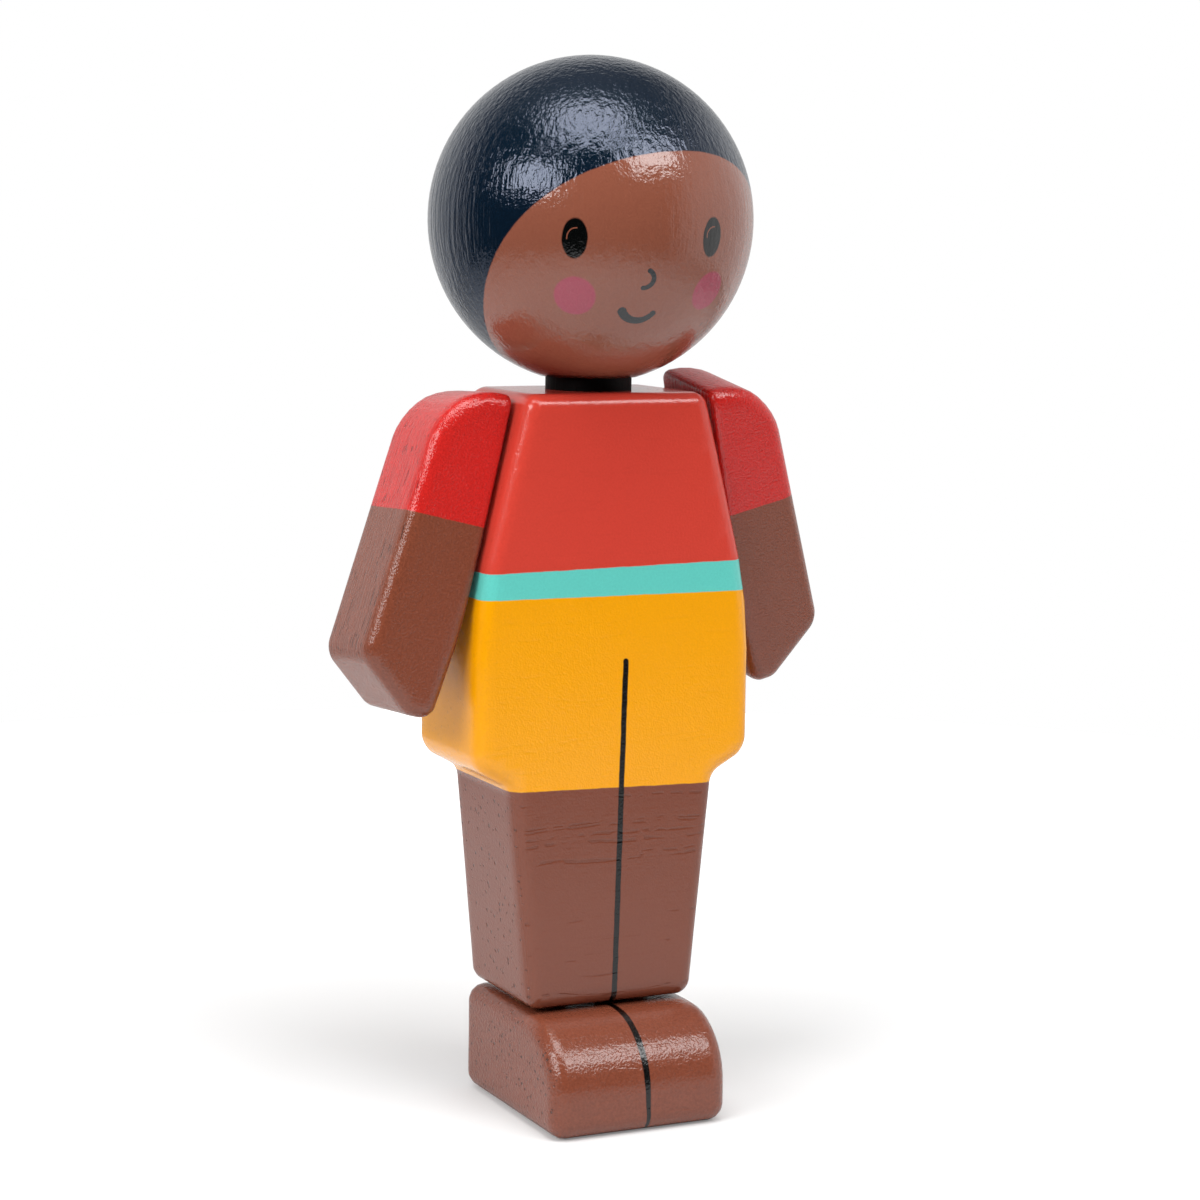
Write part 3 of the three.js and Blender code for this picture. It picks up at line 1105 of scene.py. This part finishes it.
@dataclass
class Head:
    """The turned ball with its blind bore, and the peg it turns on."""

    bore_diameter: float = 8.3
    mouth_round: float = 0.4
    neck_edge: float = 0.3
    neck_hole: float = 5.4
    arc_steps: int = 48

    def ball(self) -> tuple[float, float]:
        """Gives the CAD ball's radius and the height of its centre."""
        low, high = box_mm("head_ball")
        radius = (high.x - low.x) / 2
        return radius, high.z - radius

    def build(self) -> Shape:
        """Turns the ball about its own centre, with room for the knot above the plug.

        Returns:
            The ball in its own frame.
        """
        radius, centre = self.ball()
        bore = self.bore_diameter / 2
        bore_top = box_mm("head_plug")[1].z - centre + bore
        start = math.asin((bore + self.mouth_round) / radius)
        mouth = -radius * math.cos(start) + self.mouth_round
        profile = [(0.0, bore_top), (bore, bore_top), (bore, mouth)]
        for step in range(self.arc_steps):
            angle = start + (math.pi - start) * step / self.arc_steps
            profile.append((radius * math.sin(angle), -radius * math.cos(angle)))
        profile.append((0.0, radius))
        return turn_profile(profile)

    def neck(self) -> Shape:
        """Turns the hollow peg with eased ends.

        Returns:
            The peg in the figure's frame.
        """
        low, high = box_mm("neck_peg")
        outer, inner, ease = high.x, self.neck_hole / 2, self.neck_edge
        profile = [
            (inner, low.z), (outer - ease, low.z), (outer, low.z + ease),
            (outer, high.z - ease), (outer - ease, high.z), (inner, high.z), (inner, low.z),
        ]
        return turn_profile(profile)

    def dress(self) -> None:
        """Places the painted ball, and the near-black peg whose colour is partly painted shade."""
        centre = Vector((0, 0, self.ball()[1])) * MM
        finish = HeadEnamel(
            "enamelled_rubberwood_head", centre, Euler(), Fibre.UPRIGHT,
            ior=1.58, roughness=0.13, rough_gain=0.0, streak_width=0.45, streak_depth=0.13,
            streak_tint=0.015, pore_depth=0.015, pore_tint=0.05, peel_size=0.8,
            peel_depth=0.045, grit_tint=0.15,
        )
        settle(
            self.build(), "painted_head_ball", Matrix.Translation(centre), finish,
            "head", "head_ball",
        )
        # partly painted shade: the peg is made near-black and dull to match the deep shade under
        # the head
        near_black_finish = NearBlackPeg(
            "near_black_birch_peg_with_painted_shade", Vector(), Euler(), Fibre.UPRIGHT, ior=1.2, roughness=0.5
        )
        settle(self.neck(), "near_black_neck_peg", Matrix(), near_black_finish, "body", "neck_peg")


@dataclass
class Innards:
    """The plugs, dowels and cords inside, which keep their CAD shapes."""

    wooden: tuple[str, ...] = (
        "right_foot_dowel", "left_foot_dowel", "head_plug", "right_arm_plug", "left_arm_plug",
    )
    elastic: tuple[str, ...] = ("shoulder_cord", "neck_cord")

    def dress(self) -> None:
        """Gives each CAD node its finish."""
        wood = BareWood("bare_rubberwood", Vector(), Euler(), Fibre.UPRIGHT, roughness=0.65)
        cord = BraidedElastic(
            "braided_elastic", Vector(), Euler(), Fibre.UPRIGHT, roughness=0.85,
            streak_length=0.6, pore_spacing=0.4, pore_length=0.4,
        )
        for finish, names in ((wood, self.wooden), (cord, self.elastic)):
            material = finish.material()
            for name in names:
                for slot in frame["nodes"][name].material_slots:
                    slot.material = material
                LOG.info("%s: CAD shape in %s", name, material.name)


@dataclass(frozen=True)
class SoftLamp:
    """A softbox aimed at the figure's middle.

    Its bearing is from straight ahead towards +x, and its height above the middle, both in
    degrees. Distance and size are in metres, and brightness 1 is the background's white.
    """

    name: str
    bearing: float
    height: float
    distance: float
    width: float
    length: float
    brightness: float


@dataclass
class Studio:
    """The white floor and surroundings, the softboxes and the camera.

    The floor's fades run over the distance from the figure in metres, and the room's over the
    way from the figure: x to the right, y to the back, z up.
    """

    target: Vector = field(default_factory=lambda: Vector((1.23, -0.6, 47.58)) * MM)
    eye: Vector = field(default_factory=lambda: Vector((-121.32, -252.35, 84.47)) * MM)
    roll: float = 0.83
    lens: float = 90.59
    sensor: float = 36.0
    floor_radius: float = 0.22
    floor_facets: int = 96
    paper: str = "#e4e4e4"
    shown_paper: str = "#cbcbcb"
    # painted shade: the camera's glow is weaker near the figure, so the floor round it is darker
    camera_glow_with_painted_shade: Fade = Fade(0.03, 0.2, 0.2, 0.7)
    # painted light: a pool of light that gloss mirrors near the figure, fading out beyond it
    mirrored_painted_light_pool: Fade = Fade(0.1, 0.25, 0.76, 0.05)
    fill: Fade = Fade(-0.6, 0.3, 0.02, 1.0)
    back_wall: Fade = Fade(0.45, 0.8, 0.02, 0.85)
    side_wall: Fade = Fade(0.5, 0.8, 0.0, 1.0)
    upper_room: Fade = Fade(0.3, 0.8, 1.0, 0.5)
    ceiling: Fade = Fade(0.7, 0.9, 0.0, 0.3)
    lamps: tuple[SoftLamp, ...] = (
        SoftLamp("overhead_softbox", -30.0, 72.0, 0.7, 0.52, 0.4, 6.4),
        SoftLamp("left_softbox", -69.0, 30.0, 0.7, 0.4, 0.24, 8.2),
        SoftLamp("right_softbox", 28.0, 44.0, 0.7, 0.4, 0.23, 8.2),
    )

    def camera(self) -> None:
        """Sets the camera where the photograph was taken from."""
        data = bpy.data.cameras.new("camera")
        data.lens = self.lens
        data.sensor_width = self.sensor
        camera = bpy.data.objects.new("camera", data)
        aim = (self.target - self.eye).to_track_quat("-Z", "Y").to_matrix().to_4x4()
        camera.matrix_world = Matrix.Translation(self.eye) @ aim @ rotation(self.roll, "Z")
        bpy.context.scene.collection.objects.link(camera)
        bpy.context.scene.camera = camera

    def floor(self) -> None:
        """Lays the floor under the figure."""
        shape = bmesh.new()
        bmesh.ops.create_circle(
            shape, cap_ends=True, radius=self.floor_radius, segments=self.floor_facets
        )
        mesh = bpy.data.meshes.new("floor")
        shape.to_mesh(mesh)
        shape.free()
        floor = bpy.data.objects.new("floor", mesh)
        bpy.context.scene.collection.objects.link(floor)
        mesh.materials.append(self.floor_paper())

    def floor_paper(self) -> bpy.types.Material:
        """Makes the floor's white paper.

        It glows for the camera, so that it runs on into the white behind it and keeps the
        figure's soft shadow; the glow is weaker near the figure, which is painted shade round
        it. Gloss mirrors it without the glow, as a painted pool of light near the figure alone.

        Returns:
            The material.
        """
        material = bpy.data.materials.new("white_paper_floor")
        tree = blank_tree(material)
        path = add(tree, "LightPath").outputs
        ground = add(tree, "TexCoord").outputs["Object"]
        reach = vector_calc(tree, "LENGTH", ground)[1]
        paper = add(tree, "BsdfDiffuse", {"Color": linear(self.paper)}).outputs[0]
        # painted light: the paper that gloss mirrors is bright near the figure and fades out away
        # from it
        pool = ramp(tree, reach, *self.mirrored_painted_light_pool)
        pool = add(tree, "BsdfDiffuse", {"Color": pool}).outputs[0]
        dim = add(tree, "BsdfDiffuse", {"Color": linear(self.shown_paper)}).outputs[0]
        # painted shade: the glow is weakest near the figure, which darkens the floor round it
        glow = add(tree, "Emission", {"Strength": ramp(tree, reach, *self.camera_glow_with_painted_shade)}).outputs[0]
        shown = add(tree, "AddShader", {0: dim, 1: glow}).outputs[0]
        mirrored = calc(tree, "MAXIMUM", path["Is Glossy Ray"], path["Is Transmission Ray"])
        shader = add(tree, "MixShader", {0: mirrored, 1: paper, 2: pool}).outputs[0]
        shader = add(tree, "MixShader", {0: path["Is Camera Ray"], 1: shader, 2: shown}).outputs[0]
        add(tree, "OutputMaterial", {0: shader})
        return material

    def surroundings(self) -> None:
        """Puts white behind and beside the figure, and a dark room in front of it."""
        world = bpy.data.worlds.new("white_studio")
        bpy.context.scene.world = world
        tree = blank_tree(world)
        path = add(tree, "LightPath").outputs
        seen = calc(tree, "MAXIMUM", path["Is Glossy Ray"], path["Is Transmission Ray"])
        x, y, z = add(tree, "SeparateXYZ", {0: add(tree, "TexCoord").outputs["Generated"]}).outputs
        behind = ramp(tree, y, *self.back_wall)
        walls = calc(tree, "MAXIMUM", behind, ramp(tree, x, *self.side_wall))
        room = add(tree, "Mix", {0: seen, 2: ramp(tree, y, *self.fill), 3: walls}).outputs[0]
        room = calc(tree, "MULTIPLY", room, ramp(tree, z, *self.upper_room))
        ceiling = calc(tree, "MULTIPLY", ramp(tree, z, *self.ceiling), seen)
        room = calc(tree, "MAXIMUM", room, ceiling)
        plain = linear(WHITE)
        lit = add(tree, "Background", {"Color": plain, "Strength": room}).outputs[0]
        white = add(tree, "Background", {"Color": plain, "Strength": 1.0}).outputs[0]
        shader = add(tree, "MixShader", {0: path["Is Camera Ray"], 1: lit, 2: white}).outputs[0]
        add(tree, "OutputWorld", {0: shader})

    def light(self) -> None:
        """Hangs the softboxes."""
        for lamp in self.lamps:
            data = bpy.data.lights.new(lamp.name, "AREA")
            data.shape = "RECTANGLE"
            data.size = lamp.width
            data.size_y = lamp.length
            data.energy = math.pi * lamp.brightness * lamp.width * lamp.length
            softbox = bpy.data.objects.new(lamp.name, data)
            aim = rotation(lamp.bearing, "Z") @ rotation(90 - lamp.height, "X")
            out = Matrix.Translation((0, 0, lamp.distance))
            softbox.matrix_world = Matrix.Translation(self.target) @ aim @ out
            bpy.context.scene.collection.objects.link(softbox)

    def build(self) -> None:
        """Sets up the camera, the floor and the light."""
        self.camera()
        self.floor()
        self.surroundings()
        self.light()
        bpy.context.scene.view_settings.view_transform = "Standard"


def main() -> None:
    """Builds the studio and the figure, piece by piece."""
    logging.basicConfig(level=logging.INFO, format="%(message)s")
    Studio().build()
    Body().dress()
    Foot().dress()
    Head().dress()
    Arm(Side.RIGHT, "right_arm", rise=9.1, swing=-2.9).dress()
    Arm(Side.LEFT, "left_arm", rise=10.4, swing=10.3).dress()
    Innards().dress()


if __name__ == "__main__":
    main()
